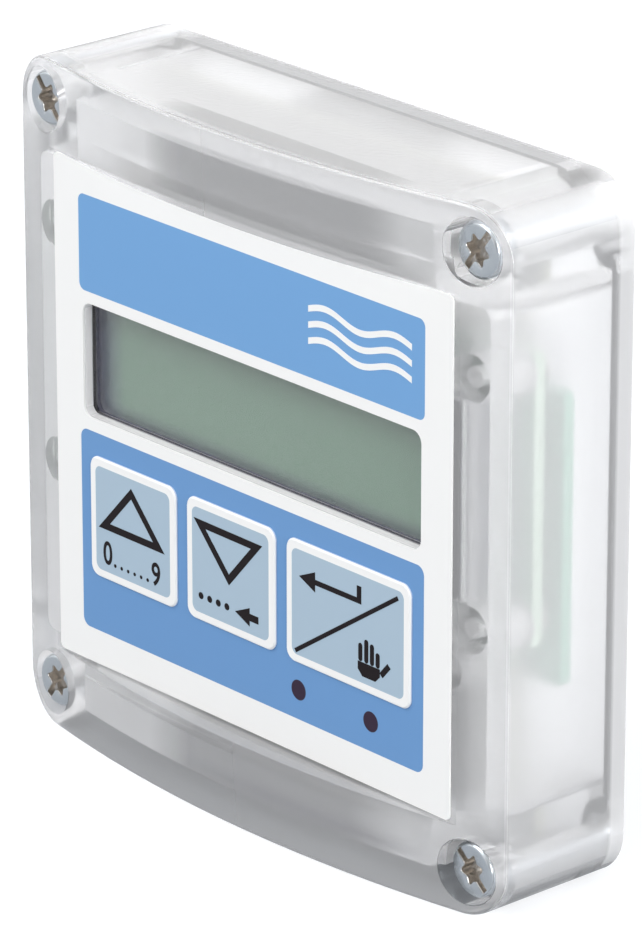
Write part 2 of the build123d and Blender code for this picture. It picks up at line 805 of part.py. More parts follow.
# Supply capacitor, a can with a rolled neck above its base
with BuildPart() as supply_capacitor:
    can_radius = capacitor_diameter / 2
    neck_start = -main_rear + capacitor_base_height
    can_back = -main_rear + capacitor_height
    with BuildSketch(Plane.XY.offset(capacitor_z)):
        with BuildLine():
            Polyline(
                (capacitor_x, can_back),
                (capacitor_x, -main_rear),
                (capacitor_x + can_radius, -main_rear),
                (capacitor_x + can_radius, neck_start),
                (capacitor_x + can_radius - capacitor_neck, neck_start + capacitor_neck_height / 2),
                (capacitor_x + can_radius, neck_start + capacitor_neck_height),
                (capacitor_x + can_radius, can_back - capacitor_edge),
                (capacitor_x + can_radius - capacitor_edge, can_back),
                close=True,
            )
        make_face()
    revolve(axis=Axis((capacitor_x, 0, capacitor_z), (0, 1, 0)), revolution_arc=360)
supply_capacitor.part.label = "supply_capacitor"
export_step(supply_capacitor.part, "parts/supply_capacitor.step")

# Controller chip with a row of bent leads on each long side
with BuildPart() as controller_chip:
    with BuildSketch(Plane.XZ.offset(main_rear - lead_thickness / 2)):
        with Locations((chip_x, chip_z)):
            Rectangle(chip_width, chip_depth)
    extrude(amount=-chip_height)
    chamfer(controller_chip.faces().sort_by(Axis.Y)[-1].edges(), chip_chamfer)
    with BuildSketch(Plane.XZ.offset(main_rear - lead_rise)):
        with Locations((chip_x, chip_z)):
            with GridLocations(lead_pitch, 0, lead_count, 1):
                Rectangle(lead_width, chip_depth + lead_reach)
    extrude(amount=-lead_thickness)
    with BuildSketch(Plane.XZ.offset(main_rear)):
        with Locations((chip_x, chip_z)):
            with GridLocations(lead_pitch, chip_depth + lead_reach, lead_count, 2):
                Rectangle(lead_width, lead_thickness)
    extrude(amount=-lead_rise - lead_thickness)
controller_chip.part.label = "controller_chip"
export_step(controller_chip.part, "parts/controller_chip.step")
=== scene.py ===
from math import cos, hypot, pi, radians, sin

import bmesh
import bpy
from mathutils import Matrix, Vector


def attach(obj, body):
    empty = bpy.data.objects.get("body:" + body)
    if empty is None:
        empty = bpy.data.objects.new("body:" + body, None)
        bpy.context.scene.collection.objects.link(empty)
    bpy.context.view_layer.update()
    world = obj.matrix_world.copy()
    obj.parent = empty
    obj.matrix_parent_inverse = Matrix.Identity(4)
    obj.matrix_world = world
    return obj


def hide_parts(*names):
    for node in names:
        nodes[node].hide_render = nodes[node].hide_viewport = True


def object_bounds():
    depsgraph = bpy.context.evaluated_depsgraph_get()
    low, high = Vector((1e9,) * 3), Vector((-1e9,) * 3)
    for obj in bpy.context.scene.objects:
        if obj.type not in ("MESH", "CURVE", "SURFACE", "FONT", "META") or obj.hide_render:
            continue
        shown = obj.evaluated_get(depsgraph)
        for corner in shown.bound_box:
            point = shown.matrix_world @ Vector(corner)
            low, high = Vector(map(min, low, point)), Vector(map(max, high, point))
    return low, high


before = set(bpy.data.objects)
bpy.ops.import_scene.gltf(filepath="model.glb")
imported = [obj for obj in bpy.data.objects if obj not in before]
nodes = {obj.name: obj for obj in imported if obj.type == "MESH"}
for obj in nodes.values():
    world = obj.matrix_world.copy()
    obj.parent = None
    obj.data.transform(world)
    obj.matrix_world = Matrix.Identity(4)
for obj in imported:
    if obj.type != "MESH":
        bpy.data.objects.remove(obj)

# Front module of a flow batch controller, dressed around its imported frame
# X runs to the right, Y to the back and Z up, in metres
# Places on the front are given in millimetres from the middle of the rear face

MM = 0.001
cad_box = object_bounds()
case = "case"

# Camera, as fitted to the photograph
image_height = 945
sensor_size = 36.0
focal_pixels = 6189.0
camera_target = Vector((11.3, -19.0, 3.75)) * MM
camera_azimuth = 48.5
camera_elevation = 20.86
camera_distance = 0.7308

# Studio light
ambient_light = 0.55
floor_glow = 0.62
dark_side = (0.75, -0.66, 0.0)

# Cover, in millimetres, where heights are measured forwards from the rear face
half_width = 44.0
crown_height = 24.0
front_bulge = 5.0
cover_outline = (0.0, 0.0, 87.8, 87.8, 6.4)
pocket_half_height = 33.0
pocket_level = 20.3
window_rear_level = 17.9
window_front_level = 19.3
window_z = 7.2
counterbore_radius = 4.2
lip_depth = 2.3
lip_start = 42.6
side_start = 43.6

# Share of the light that each kind of cover surface lets straight through, and its roughness
veil_clearness = 0.72
side_clearness = 0.65
lip_clearness = 0.32
window_wall_clearness = 0.2
satin_roughness = 0.2
frost_roughness = 0.45
clear_roughness = 0.03

# Painted shade on the frosted inner walls behind the top and bottom of the front, with a streak of painted
# dark violet reflection in the lower one
band_range = (33.2, 40.2)
band_level = 17.4
band_reach = 32.0
band_middle = 5.0
band_half_length = 18.0
streak_middle = 11.0
streak_half_length = 15.0
streak_z = -38.9
streak_half_height = 0.9

# Printed fields of the foil, in millimetres: middle X, middle Z, width, height, corner radius
upper_panel = (0.0, 22.3, 62.5, 12.4, 1.0)
lower_panel = (0.0, -15.0, 62.6, 26.2, 1.2)
key_places = {"up": (-21.175, 16.3), "down": (-2.875, 16.3), "enter": (18.3, 22.05)}
key_row_z = -12.75
key_height = 15.8
key_radius = 1.5
key_border = 1.1
lamp_places = [(9.2, -24.3), (22.1, -24.3)]
lamp_dot = 2.6
print_thickness = 0.02
film_face = 20.72
key_face = 21.07

# Signs on the keys, as corners X and Z on the front
up_sign = ((-21.4, -7.9), (-26.6, -13.5), (-16.2, -13.5))
down_sign = ((-8.5, -7.9), (-3.1, -13.7), (2.0, -8.0))
sign_stroke = 0.95
small_dots = ((-24.6, -18.3), 1.24, 6, 0.48)
large_dots = ((-8.3, -17.3), 1.6, 4, 0.9)
digit_places = (("0", -26.0, -17.0), ("9", -16.8, -17.1))
digit_height = 3.1
digit_boldness = 0.016
digit_narrowing = 0.85

# Cover screws
screw_place = 38.4
screw_seat = 16.8
screw_head_radius = 3.5
screw_head_height = 2.6
screw_turns = {
    "top_left": (-1, 1, -51.0),
    "top_right": (1, 1, 52.0),
    "bottom_left": (-1, -1, 54.0),
    "bottom_right": (1, -1, -41.0),
}
thread_pitch = 0.7

# Boards, by the Y of their two faces
main_rear = -6.9
main_front = -8.5
display_rear = -11.6
keypad_rear = -12.9
pin_pitch = 2.54
terminal_pitch = 5.0
terminal_pin_z = 33.5
terminal_mouth_z = 29.4
upper_poles = 4
lower_poles = 6
relay_place = (-24.0, 9.5)
relay_pin_spread = (2.0, 5.0)
capacitor_place = (22.5, 17.0)
capacitor_clearance = 5.0
wing_place = (35.25, 1.05)
wing_size = (8.5, 36.5)

# Colours as the eye sees them, from 0 to 255
ink_blue = (116, 166, 217)
# The same blue ink painted darker on the lower panel, as shade for its lower and less lit place
ink_blue_painted_shade = (108, 154, 206)
ink_key = (172, 193, 210)
ink_dark = (22, 14, 18)
ink_lamp = (48, 30, 52)
film_white = (247, 247, 246)
# Painted shade for the frosted band in the cover, darker at the top, and a painted dark violet reflection
# streak
band_painted_shade = (108, 108, 110)
band_painted_shade_top = (94, 94, 97)
streak_painted_reflection = (44, 36, 60)
cell_green = (99, 127, 108)
cell_grain = (106, 134, 114)
cell_shade_low = (56, 56, 78)
cell_shade_left = (56, 62, 88)
recess_tint = (206, 201, 195)


def linear(color):
    # The shader's own colour for one that is given as the eye sees it
    parts = [part / 255 for part in color]
    shares = [part / 12.92 if part <= 0.04045 else ((part + 0.055) / 1.055) ** 2.4 for part in parts]
    return (*shares, 1.0)


class Field:
    # A number that the nodes of one material work out at each point
    def __init__(self, tree, socket):
        self.tree = tree
        self.socket = socket

    def math(self, operation, *others, clamp=False):
        node = self.tree.nodes.new("ShaderNodeMath")
        node.operation = operation
        node.use_clamp = clamp
        for slot, value in zip(node.inputs, (self, *others)):
            if isinstance(value, Field):
                self.tree.links.new(value.socket, slot)
            else:
                slot.default_value = value
        return Field(self.tree, node.outputs[0])

    def __add__(self, other):
        return self.math("ADD", other)

    def __sub__(self, other):
        return self.math("SUBTRACT", other)

    def __mul__(self, other):
        return self.math("MULTIPLY", other)

    def __abs__(self):
        return self.math("ABSOLUTE")

    def over(self, edge, soft=0.02):
        # One where the number is over the edge, and nought under it
        return self.math("MULTIPLY_ADD", 1 / soft, 0.5 - edge / soft, clamp=True)

    def under(self, edge, soft=0.02):
        return self.math("MULTIPLY_ADD", -1 / soft, edge / soft + 0.5, clamp=True)

    def mixed(self, low, high):
        # Value that is low where this field is nought and high where it is one
        return self.math("MULTIPLY_ADD", high - low, low)

    def faded(self, mask, value):
        # This field, gone over to a value where a mask is one
        return self + (self.math("MULTIPLY_ADD", -1.0, value) * mask)

    def length(self, other):
        return (self * self + other * other).math("SQRT")


class Finish:
    # One material, whose patterns are laid out in millimetres of the shared frame
    def __init__(self, name, color, roughness, metallic=0.0, **sockets):
        self.material = bpy.data.materials.new(name)
        self.material.use_nodes = True
        self.tree = self.material.node_tree
        self.shader = self.tree.nodes["Principled BSDF"]
        self.shader.inputs["Base Color"].default_value = linear(color)
        self.shader.inputs["Roughness"].default_value = roughness
        self.shader.inputs["Metallic"].default_value = metallic
        for socket, value in sockets.items():
            self.shader.inputs[socket.replace("_", " ")].default_value = value
        place = self.tree.nodes.new("ShaderNodeTexCoord")
        scaled = self.tree.nodes.new("ShaderNodeVectorMath")
        scaled.operation = "SCALE"
        scaled.inputs["Scale"].default_value = 1 / MM
        self.tree.links.new(place.outputs["Object"], scaled.inputs[0])
        self.place = scaled.outputs[0]
        split = self.tree.nodes.new("ShaderNodeSeparateXYZ")
        self.tree.links.new(self.place, split.inputs[0])
        self.x, self.y, self.z = (Field(self.tree, out) for out in split.outputs)

    def noise(self, per_mm, detail=2.0, stretch=None):
        # Cloudy values about one half, with so many features to the millimetre
        node = self.tree.nodes.new("ShaderNodeTexNoise")
        node.inputs["Scale"].default_value = per_mm
        node.inputs["Detail"].default_value = detail
        place = self.place
        if stretch:
            stretched = self.tree.nodes.new("ShaderNodeVectorMath")
            stretched.operation = "MULTIPLY"
            stretched.inputs[1].default_value = stretch
            self.tree.links.new(self.place, stretched.inputs[0])
            place = stretched.outputs[0]
        self.tree.links.new(place, node.inputs["Vector"])
        return Field(self.tree, node.outputs["Fac"])

    def drive(self, socket, field):
        self.tree.links.new(field.socket, self.shader.inputs[socket])
        return self

    def vary(self, socket, field, low, high):
        # Lets a field that runs from nought to one move a socket between two values
        return self.drive(socket, field.mixed(low, high))

    def paint(self, *layers):
        # Lays colours over the base colour, each where its mask is one
        socket = self.shader.inputs["Base Color"]
        below = tuple(socket.default_value)
        for mask, color in layers:
            mix = self.tree.nodes.new("ShaderNodeMix")
            mix.data_type = "RGBA"
            low, high = (item for item in mix.inputs if item.type == "RGBA")
            if isinstance(below, tuple):
                low.default_value = below
            else:
                self.tree.links.new(below, low)
            high.default_value = linear(color)
            self.tree.links.new(mask.socket, mix.inputs["Factor"])
            below = next(item for item in mix.outputs if item.type == "RGBA")
        self.tree.links.new(below, socket)
        return self

    def bump(self, field, depth_mm, strength=1.0):
        node = self.tree.nodes.new("ShaderNodeBump")
        node.inputs["Strength"].default_value = strength
        node.inputs["Distance"].default_value = depth_mm * MM
        self.tree.links.new(field.socket, node.inputs["Height"])
        self.tree.links.new(node.outputs["Normal"], self.shader.inputs["Normal"])
        return self

    def rounded_box(self, place, soft=0.03):
        # One inside an upright rectangle with round corners on the front
        middle_x, middle_z, width, height, radius = place
        out_x = abs(self.x - middle_x).math("SUBTRACT", width / 2 - radius).math("MAXIMUM", 0.0)
        out_z = abs(self.z - middle_z).math("SUBTRACT", height / 2 - radius).math("MAXIMUM", 0.0)
        return out_x.length(out_z).under(radius, soft)

    def disc(self, middle, diameter, soft=0.05):
        return (self.x - middle[0]).length(self.z - middle[1]).under(diameter / 2, soft)

    def lets_lamps_in(self, share):
        # Lamps shine through, as they do through clear plastic, and what is inside is lit
        path = self.tree.nodes.new("ShaderNodeLightPath")
        open_shader = self.tree.nodes.new("ShaderNodeBsdfTransparent")
        open_shader.inputs["Color"].default_value = (share, share, share, 1.0)
        mix = self.tree.nodes.new("ShaderNodeMixShader")
        self.tree.links.new(path.outputs["Is Shadow Ray"], mix.inputs[0])
        self.tree.links.new(self.shader.outputs[0], mix.inputs[1])
        self.tree.links.new(open_shader.outputs[0], mix.inputs[2])
        self.tree.links.new(mix.outputs[0], self.tree.nodes["Material Output"].inputs["Surface"])
        return self


def dress(finish, *names):
    for name in names:
        nodes[name].data.materials.clear()
        nodes[name].data.materials.append(finish.material)
        nodes[name].data.shade_smooth()


def piece(name, mesh, finish, body=case):
    # A new piece, whose mesh is already in its place
    made = bpy.data.objects.new(name, mesh)
    bpy.context.scene.collection.objects.link(made)
    for item in finish if isinstance(finish, (list, tuple)) else (finish,):
        mesh.materials.append(item.material)
    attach(made, body)
    return made


def baked(made):
    # Mesh of an object with its modifiers or curve applied
    graph = bpy.context.evaluated_depsgraph_get()
    mesh = bpy.data.meshes.new_from_object(made.evaluated_get(graph))
    bpy.data.objects.remove(made)
    return mesh


def loose(name, data):
    # Object that is only there to be baked
    made = bpy.data.objects.new(name, data)
    bpy.context.scene.collection.objects.link(made)
    return made


def front_plate(mesh, height):
    # Stands a flat mesh, drawn in millimetres of X and Z, up against the front at a height over the rear face
    for vertex in mesh.vertices:
        across, up, out = vertex.co
        vertex.co = (across * MM, -(height + out) * MM, up * MM)
    mesh.flip_normals()
    return mesh


def printed(name, outlines, finish, height):
    # Flat sign whose outlines are closed lines, where a line inside another is a hole
    curve = bpy.data.curves.new(name, "CURVE")
    curve.dimensions = "2D"
    curve.fill_mode = "BOTH"
    curve.extrude = print_thickness / 2
    for outline in outlines:
        line = curve.splines.new("POLY")
        line.points.add(len(outline) - 1)
        for point, (across, up) in zip(line.points, outline):
            point.co = (across, up, 0.0, 1.0)
        line.use_cyclic_u = True
    mesh = front_plate(baked(loose(name, curve)), height + print_thickness / 2)
    return piece(name, mesh, finish)


def printed_digit(name, digit, middle, finish, height):
    curve = bpy.data.curves.new(name, "FONT")
    curve.body = digit
    curve.align_x = "CENTER"
    curve.align_y = "CENTER"
    curve.extrude = print_thickness / 2
    curve.offset = digit_boldness
    mesh = baked(loose(name, curve))
    tall = max(v.co.y for v in mesh.vertices) - min(v.co.y for v in mesh.vertices)
    base = min(v.co.y for v in mesh.vertices)
    scale = digit_height / tall
    for vertex in mesh.vertices:
        across, up, out = vertex.co
        across = middle[0] + across * scale * digit_narrowing
        vertex.co = (across, middle[1] + (up - base) * scale - digit_height / 2, out)
    piece(name, front_plate(mesh, height + print_thickness / 2), finish)


def grown(corners, amount):
    # Corners of a closed outline that is moved outwards by an amount, or inwards by a negative one
    area = sum(a[0] * b[1] - b[0] * a[1] for a, b in zip(corners, corners[1:] + corners[:1]))
    side = 1 if area > 0 else -1
    out = []
    for before, here, after in zip(corners[-1:] + corners[:-1], corners, corners[1:] + corners[:1]):
        first = (Vector(here) - Vector(before)).normalized()
        second = (Vector(after) - Vector(here)).normalized()
        first_out = side * Vector((first.y, -first.x))
        second_out = side * Vector((second.y, -second.x))
        mitre = (first_out + second_out).normalized()
        out.append(Vector(here) + mitre * (amount / mitre.dot(first_out)))
    return [tuple(point) for point in out]


def ring_of(corners, stroke):
    # Closed line of one stroke's width about a polygon
    return [grown(list(corners), stroke / 2), grown(list(corners), -stroke / 2)]


def bar(start, end, width):
    # Straight stroke between two points
    along = (Vector(end) - Vector(start)).normalized()
    across = Vector((-along.y, along.x)) * width / 2
    start, end = Vector(start), Vector(end)
    return [tuple(start + across), tuple(start - across), tuple(end - across), tuple(end + across)]


def round_outline(middle, radius, count=24, stretch=1.0):
    turns = [2 * pi * index / count for index in range(count)]
    return [(middle[0] + radius * cos(turn), middle[1] + radius * stretch * sin(turn)) for turn in turns]


def finger(low, high, width, count=8):
    # Upright bar with round ends
    radius = width / 2
    ends = [(high, turn) for turn in range(count + 1)] + [(low, turn + count) for turn in range(count + 1)]
    angles = [(end, pi * turn / count) for end, turn in ends]
    return [(end[0] + radius * cos(angle), end[1] + radius * sin(angle)) for end, angle in angles]


def wave(start, end, middle, height, stroke, count=40):
    # Ribbon of one and a half waves
    def level(share):
        return middle + height / 2 * sin(3 * pi * share)

    steps = [index / count for index in range(count + 1)]
    upper = [(start + (end - start) * step, level(step) + stroke / 2) for step in steps]
    lower = [(across, up - stroke) for across, up in upper]
    return upper + lower[::-1]


def mesh_of(name, made):
    # Mesh of a finished bmesh, with sharp edges kept and round ones smoothed
    bmesh.ops.recalc_face_normals(made, faces=made.faces)
    mesh = bpy.data.meshes.new(name)
    made.to_mesh(mesh)
    made.free()
    mesh.shade_smooth()
    mesh.set_sharp_from_angle(angle=radians(38))
    return mesh


def turned(profile, count, place=None):
    # Solid of revolution about Y, from (radius, y) points in millimetres
    made = bmesh.new()
    middle_x, middle_z = place or (0.0, 0.0)
    rings = []
    for radius, y in profile:
        if radius == 0:
            rings.append([made.verts.new((middle_x * MM, y * MM, middle_z * MM))])
            continue
        turns = [2 * pi * index / count for index in range(count)]
        rings.append(
            [
                made.verts.new(((middle_x + radius * cos(t)) * MM, y * MM, (middle_z + radius * sin(t)) * MM))
                for t in turns
            ]
        )
    for first, second in zip(rings, rings[1:]):
        for index in range(count):
            after = (index + 1) % count
            corners = [first[index % len(first)], first[after % len(first)]]
            corners += [second[after % len(second)], second[index % len(second)]]
            made.faces.new(dict.fromkeys(corners))
    return made


# Milky cover, satin outside, finely frosted on its inner walls and clear only at the window
def cover_finish():
    finish = Finish("clear_cover", (246, 246, 247), 0.04, Transmission_Weight=1.0, IOR=1.585)
    x, y, z = finish.x, finish.y, finish.z
    front = (x * x).math("MULTIPLY_ADD", front_bulge / half_width**2, -crown_height)
    inside = finish.rounded_box(cover_outline) * (y - front).over(0.12) * y.under(-0.1)
    pocket = abs(z).under(pocket_half_height) * y.under(-pocket_level)
    from_screw = (abs(x) - screw_place).length(abs(z) - screw_place)
    counterbore = from_screw.under(counterbore_radius) * y.under(0.05 - screw_seat)
    frosted = inside * pocket.math("MAXIMUM", counterbore).math("MULTIPLY_ADD", -1.0, 1.0)
    from_window = abs(z - window_z)
    window = abs(x).under(30.6) * from_window.under(7.3) * y.under(-window_rear_level)
    window_wall = abs(x).under(31.0) * from_window.under(7.7) * y.under(-window_front_level) * y.over(-20.6)
    clear = window.math("MAXIMUM", counterbore)
    lip = y.over(-lip_depth, 0.5) * abs(x).over(lip_start)
    finish.drive("Roughness", frosted.mixed(satin_roughness, frost_roughness).faded(clear, clear_roughness))
    veil = abs(x).over(side_start).mixed(veil_clearness, side_clearness).faded(lip, lip_clearness)
    finish.drive("Transmission Weight", veil.faded(clear, 1.0).faded(window_wall, window_wall_clearness))
    in_band = abs(z).over(band_range[0]) * abs(z).under(band_range[1])
    band = frosted * in_band * y.under(-band_level) * abs(x).under(band_reach)
    band_shade = band * abs(x - band_middle).under(band_half_length, 8.0)
    along_streak = abs(x - streak_middle).under(streak_half_length, 14.0)
    streak = band * z.under(0.0) * along_streak * abs(z - streak_z).under(streak_half_height, 1.6)
    # The band is painted grey as shade, darker at the top, and the streak is a painted dark violet reflection
    finish.paint((band_shade, band_painted_shade), (band_shade * z.over(0.0), band_painted_shade_top), (streak, streak_painted_reflection))
    finish.bump(finish.noise(1.6, 3.0) * frosted, 0.05, 0.5)
    return finish.lets_lamps_in(0.94)


def foil_finish():
    finish = Finish("printed_film", film_white, 0.45, Specular_IOR_Level=0.3)
    key_fields = []
    key_rims = []
    for middle_x, width in key_places.values():
        rim = (middle_x, key_row_z, width, key_height, key_radius)
        field = (
            middle_x,
            key_row_z,
            width - 2 * key_border,
            key_height - 2 * key_border,
            key_radius - key_border / 2,
        )
        key_rims.append((finish.rounded_box(rim), film_white))
        key_fields.append((finish.rounded_box(field), ink_key))
    lamps = [(finish.disc(middle, lamp_dot), ink_lamp) for middle in lamp_places]
    finish.paint(
        (finish.rounded_box(upper_panel), ink_blue),
        # The lower panel takes the blue ink painted darker, as painted shade
        (finish.rounded_box(lower_panel), ink_blue_painted_shade),
        *key_rims,
        *key_fields,
        *lamps,
    )
    finish.bump(finish.noise(9.0, 2.0), 0.006, 0.6)
    finish.vary("Roughness", finish.noise(0.35), 0.36, 0.48)
    return finish


def display_finish():
    finish = Finish("display_cell", cell_green, 0.3)
    shade_left = finish.x.under(-28.0, 4.4)
    shade_low = finish.z.under(0.9, 2.0)
    finish.paint(
        (finish.noise(2.5, 2.0).over(0.5, 0.6) * 0.25, cell_grain),
        (shade_low * 0.7, cell_shade_low),
        (shade_left, cell_shade_left),
    )
    return finish


def board_finish(name, mask_color, copper_color, edge_color, bare_front=False):
    # Solder mask over faint copper tracks, with a bare laminate edge and, if asked, a bare front
    finish = Finish(name, mask_color, 0.38, Coat_Weight=0.3)
    tracks = finish.noise(0.25, 0.0, stretch=(1.0, 1.0, 0.2)).math("MULTIPLY", 34.0).math("SINE")
    crossing = finish.noise(0.3, 0.0, stretch=(0.2, 1.0, 1.0)).math("MULTIPLY", 30.0).math("SINE")
    pattern = tracks.over(0.75, 0.2).math("MAXIMUM", crossing.over(0.85, 0.2))
    geometry = finish.tree.nodes.new("ShaderNodeNewGeometry")
    split = finish.tree.nodes.new("ShaderNodeSeparateXYZ")
    finish.tree.links.new(geometry.outputs["True Normal"], split.inputs[0])
    facing = Field(finish.tree, split.outputs["Y"])
    edge = (facing if bare_front else abs(facing)).under(0.5, 0.1)
    finish.paint((pattern * 0.8, copper_color), (edge, edge_color))
    finish.bump(pattern, 0.03, 0.4)
    return finish


def steel_finish(name, color, roughness):
    # Turned metal, with rings about each screw of the square and a browner recess
    finish = Finish(name, color, roughness, metallic=1.0)
    from_axis = (abs(finish.x) - screw_place).length(abs(finish.z) - screw_place)
    rings = from_axis.math("MULTIPLY", 42.0).math("SINE")
    recess = finish.y.over(-(screw_seat + screw_head_height) + 0.14, 0.1) * from_axis.under(3.15)
    # The inside of the recess is painted a little darker and browner than the head
    finish.paint((recess * finish.y.under(-screw_seat), recess_tint))
    facets = finish.noise(1.9, 1.0) * recess * 26.0
    finish.bump(rings + finish.noise(12.0, 3.0) + facets, 0.006, 0.5)
    finish.vary("Roughness", finish.noise(2.5, 3.0), roughness - 0.06, roughness + 0.1)
    return finish


def plain_metal(name, color, roughness):
    finish = Finish(name, color, roughness, metallic=1.0)
    finish.bump(finish.noise(6.0, 3.0), 0.01, 0.4)
    finish.vary("Roughness", finish.noise(1.5, 2.0), roughness - 0.07, roughness + 0.1)
    return finish


def moulded(name, color, roughness, worn, **sockets):
    # Moulded plastic or rubber with a fine spark-eroded grain
    finish = Finish(name, color, roughness, **sockets)
    finish.paint((finish.noise(0.8, 3.0).over(0.55, 0.3) * 0.35, worn))
    finish.bump(finish.noise(7.0, 2.0), 0.015, 0.5)
    finish.vary("Roughness", finish.noise(1.1, 2.0), roughness - 0.06, roughness + 0.08)
    return finish


def lamp_finish():
    finish = Finish("lamp_epoxy", (120, 22, 34), 0.12, Transmission_Weight=0.6, IOR=1.5)
    finish.vary("Roughness", finish.noise(3.0), 0.08, 0.2)
    return finish


cover_clear = cover_finish()
printed_film = foil_finish()
display_cell = display_finish()
green_board = board_finish("green_board", (52, 120, 88), (86, 150, 112), (190, 214, 192))
dark_board = board_finish("dark_board", (40, 46, 46), (62, 70, 66), (150, 152, 132))
wing_board = board_finish("wing_board", (40, 46, 46), (62, 70, 66), (138, 200, 174), bare_front=True)
screw_steel = steel_finish("screw_steel", (216, 222, 227), 0.2)
zinc = plain_metal("zinc_plate", (200, 200, 196), 0.3)
nickel = plain_metal("nickel_plate", (206, 200, 184), 0.28)
solder = plain_metal("solder", (190, 192, 196), 0.24)
bezel_black = moulded("bezel_paint", (62, 62, 88), 0.4, (70, 70, 96))
plastic_black = moulded("plastic_black", (28, 28, 30), 0.42, (44, 44, 46))
plastic_white = moulded("plastic_white", (226, 226, 222), 0.4, (210, 210, 204))
terminal_grey = moulded("terminal_grey", (62, 66, 70), 0.46, (78, 82, 86))
relay_case = moulded("relay_case", (60, 84, 128), 0.34, (74, 98, 140))
seal_grey = moulded("seal_rubber", (234, 235, 237), 0.62, (224, 225, 228))
contact_black = moulded("contact_rubber", (42, 42, 44), 0.6, (58, 58, 60))
can_sleeve = moulded("can_sleeve", (38, 44, 62), 0.3, (50, 56, 74))
lamp_epoxy = lamp_finish()
ink_black = moulded("ink_black", ink_dark, 0.5, (30, 20, 24), Specular_IOR_Level=0.2)
ink_white = moulded("ink_white", film_white, 0.45, (250, 250, 250))
ceramic_tan = moulded("ceramic_tan", (150, 122, 92), 0.35, (166, 138, 108))

dress(cover_clear, "cover")
dress(seal_grey, "rear_seal")
dress(printed_film, "front_foil")
dress(display_cell, "display_glass")
dress(bezel_black, "display_bezel")
dress(contact_black, "display_contact_strips")
dress(green_board, "display_board")
dress(dark_board, "keypad_board", "main_board")
dress(zinc, "display_screws", "keypad_screws", "main_screws", "terminal_screws")
dress(nickel, "board_spacers")
dress(plastic_black, "display_plug", "keypad_plug", "controller_chip")
dress(terminal_grey, "terminal_block_upper", "terminal_block_lower")
dress(relay_case, "relay_upper", "relay_lower")
dress(can_sleeve, "supply_capacitor")
dress(lamp_epoxy, "status_led_left", "status_led_right")
for key in key_places:
    dress(plastic_black, f"key_switch_{key}")
    dress(plastic_white, f"key_plunger_{key}")


# Printed signs of the foil
for sign, corners in (("up", up_sign), ("down", down_sign)):
    printed(f"sign_{sign}", ring_of(corners, sign_stroke), ink_black, key_face)
for sign, (first, pitch, count, size) in (("small_dots", small_dots), ("large_dots", large_dots)):
    dots = [round_outline((first[0] + pitch * index, first[1]), size / 2) for index in range(count)]
    printed(f"sign_{sign}", dots, ink_black, key_face)
for digit, across, up in digit_places:
    printed_digit(f"sign_digit_{digit}", digit, (across, up), ink_black, key_face)
step_arrow = [
    (-2.0, -17.4), (0.7, -16.2), (0.7, -16.93), (2.3, -16.93), (2.3, -17.87), (0.7, -17.87), (0.7, -18.6),
]
return_arrow = [
    (9.7, -9.3), (12.6, -8.0), (12.6, -8.95), (20.0, -8.95), (20.0, -7.4),
    (20.8, -7.4), (20.8, -9.65), (12.6, -9.65), (12.6, -10.6),
]
palm = [(20.2, -16.9), (24.1, -16.9), (24.1, -17.9), (23.3, -18.7), (21.0, -18.7), (20.2, -17.9)]
printed("sign_step_arrow", [step_arrow], ink_black, key_face)
printed("sign_return", [return_arrow], ink_black, key_face)
printed("sign_diagonal", [bar((9.0, -19.1), (27.2, -6.9), 0.55)], ink_black, key_face)
printed("sign_palm", [palm], ink_black, key_face)
for number, (across, tip) in enumerate(((20.65, -14.9), (21.7, -14.2), (22.7, -14.5), (23.7, -15.3))):
    printed(f"sign_finger_{number}", [finger((across, -16.5), (across, tip), 0.72)], ink_black, key_face)
printed("sign_thumb", [bar((24.3, -17.6), (25.7, -16.0), 0.75)], ink_black, key_face)
for number, middle in enumerate((24.6, 22.6, 20.6)):
    printed(f"sign_wave_{number}", [wave(11.0, 29.0, middle, 1.3, 0.8)], ink_white, film_face)


# Cover screws, each with a six-lobe recess, a slot and a rolled thread
def lobed(turn, count=72, mean=1.68, swing=0.3, sharpness=0.03):
    # Round six-lobe outline, turned with its screw
    points = []
    for index in range(count):
        angle = 2 * pi * index / count
        radius = mean + swing * cos(6 * angle) + sharpness * cos(12 * angle)
        points.append((radius * cos(angle + turn), radius * sin(angle + turn)))
    return points


def slot_outline(turn, length=6.2, width=1.0):
    signs = ((-1, -1), (1, -1), (1, 1), (-1, 1))
    corners = [(a * length / 2, b * width / 2) for a, b in signs]
    return [(a * cos(turn) - b * sin(turn), a * sin(turn) + b * cos(turn)) for a, b in corners]


def prism(outline, middle, front, rear):
    # Straight cutter of an outline between two heights along Y
    made = bmesh.new()
    rings = [
        [made.verts.new(((middle[0] + a) * MM, y * MM, (middle[1] + b) * MM)) for a, b in outline]
        for y in (front, rear)
    ]
    count = len(outline)
    for index in range(count):
        after = (index + 1) % count
        made.faces.new((rings[0][index], rings[0][after], rings[1][after], rings[1][index]))
    for ring in rings:
        made.faces.new(ring)
    bmesh.ops.recalc_face_normals(made, faces=made.faces)
    mesh = bpy.data.meshes.new("cutter")
    made.to_mesh(mesh)
    made.free()
    return mesh


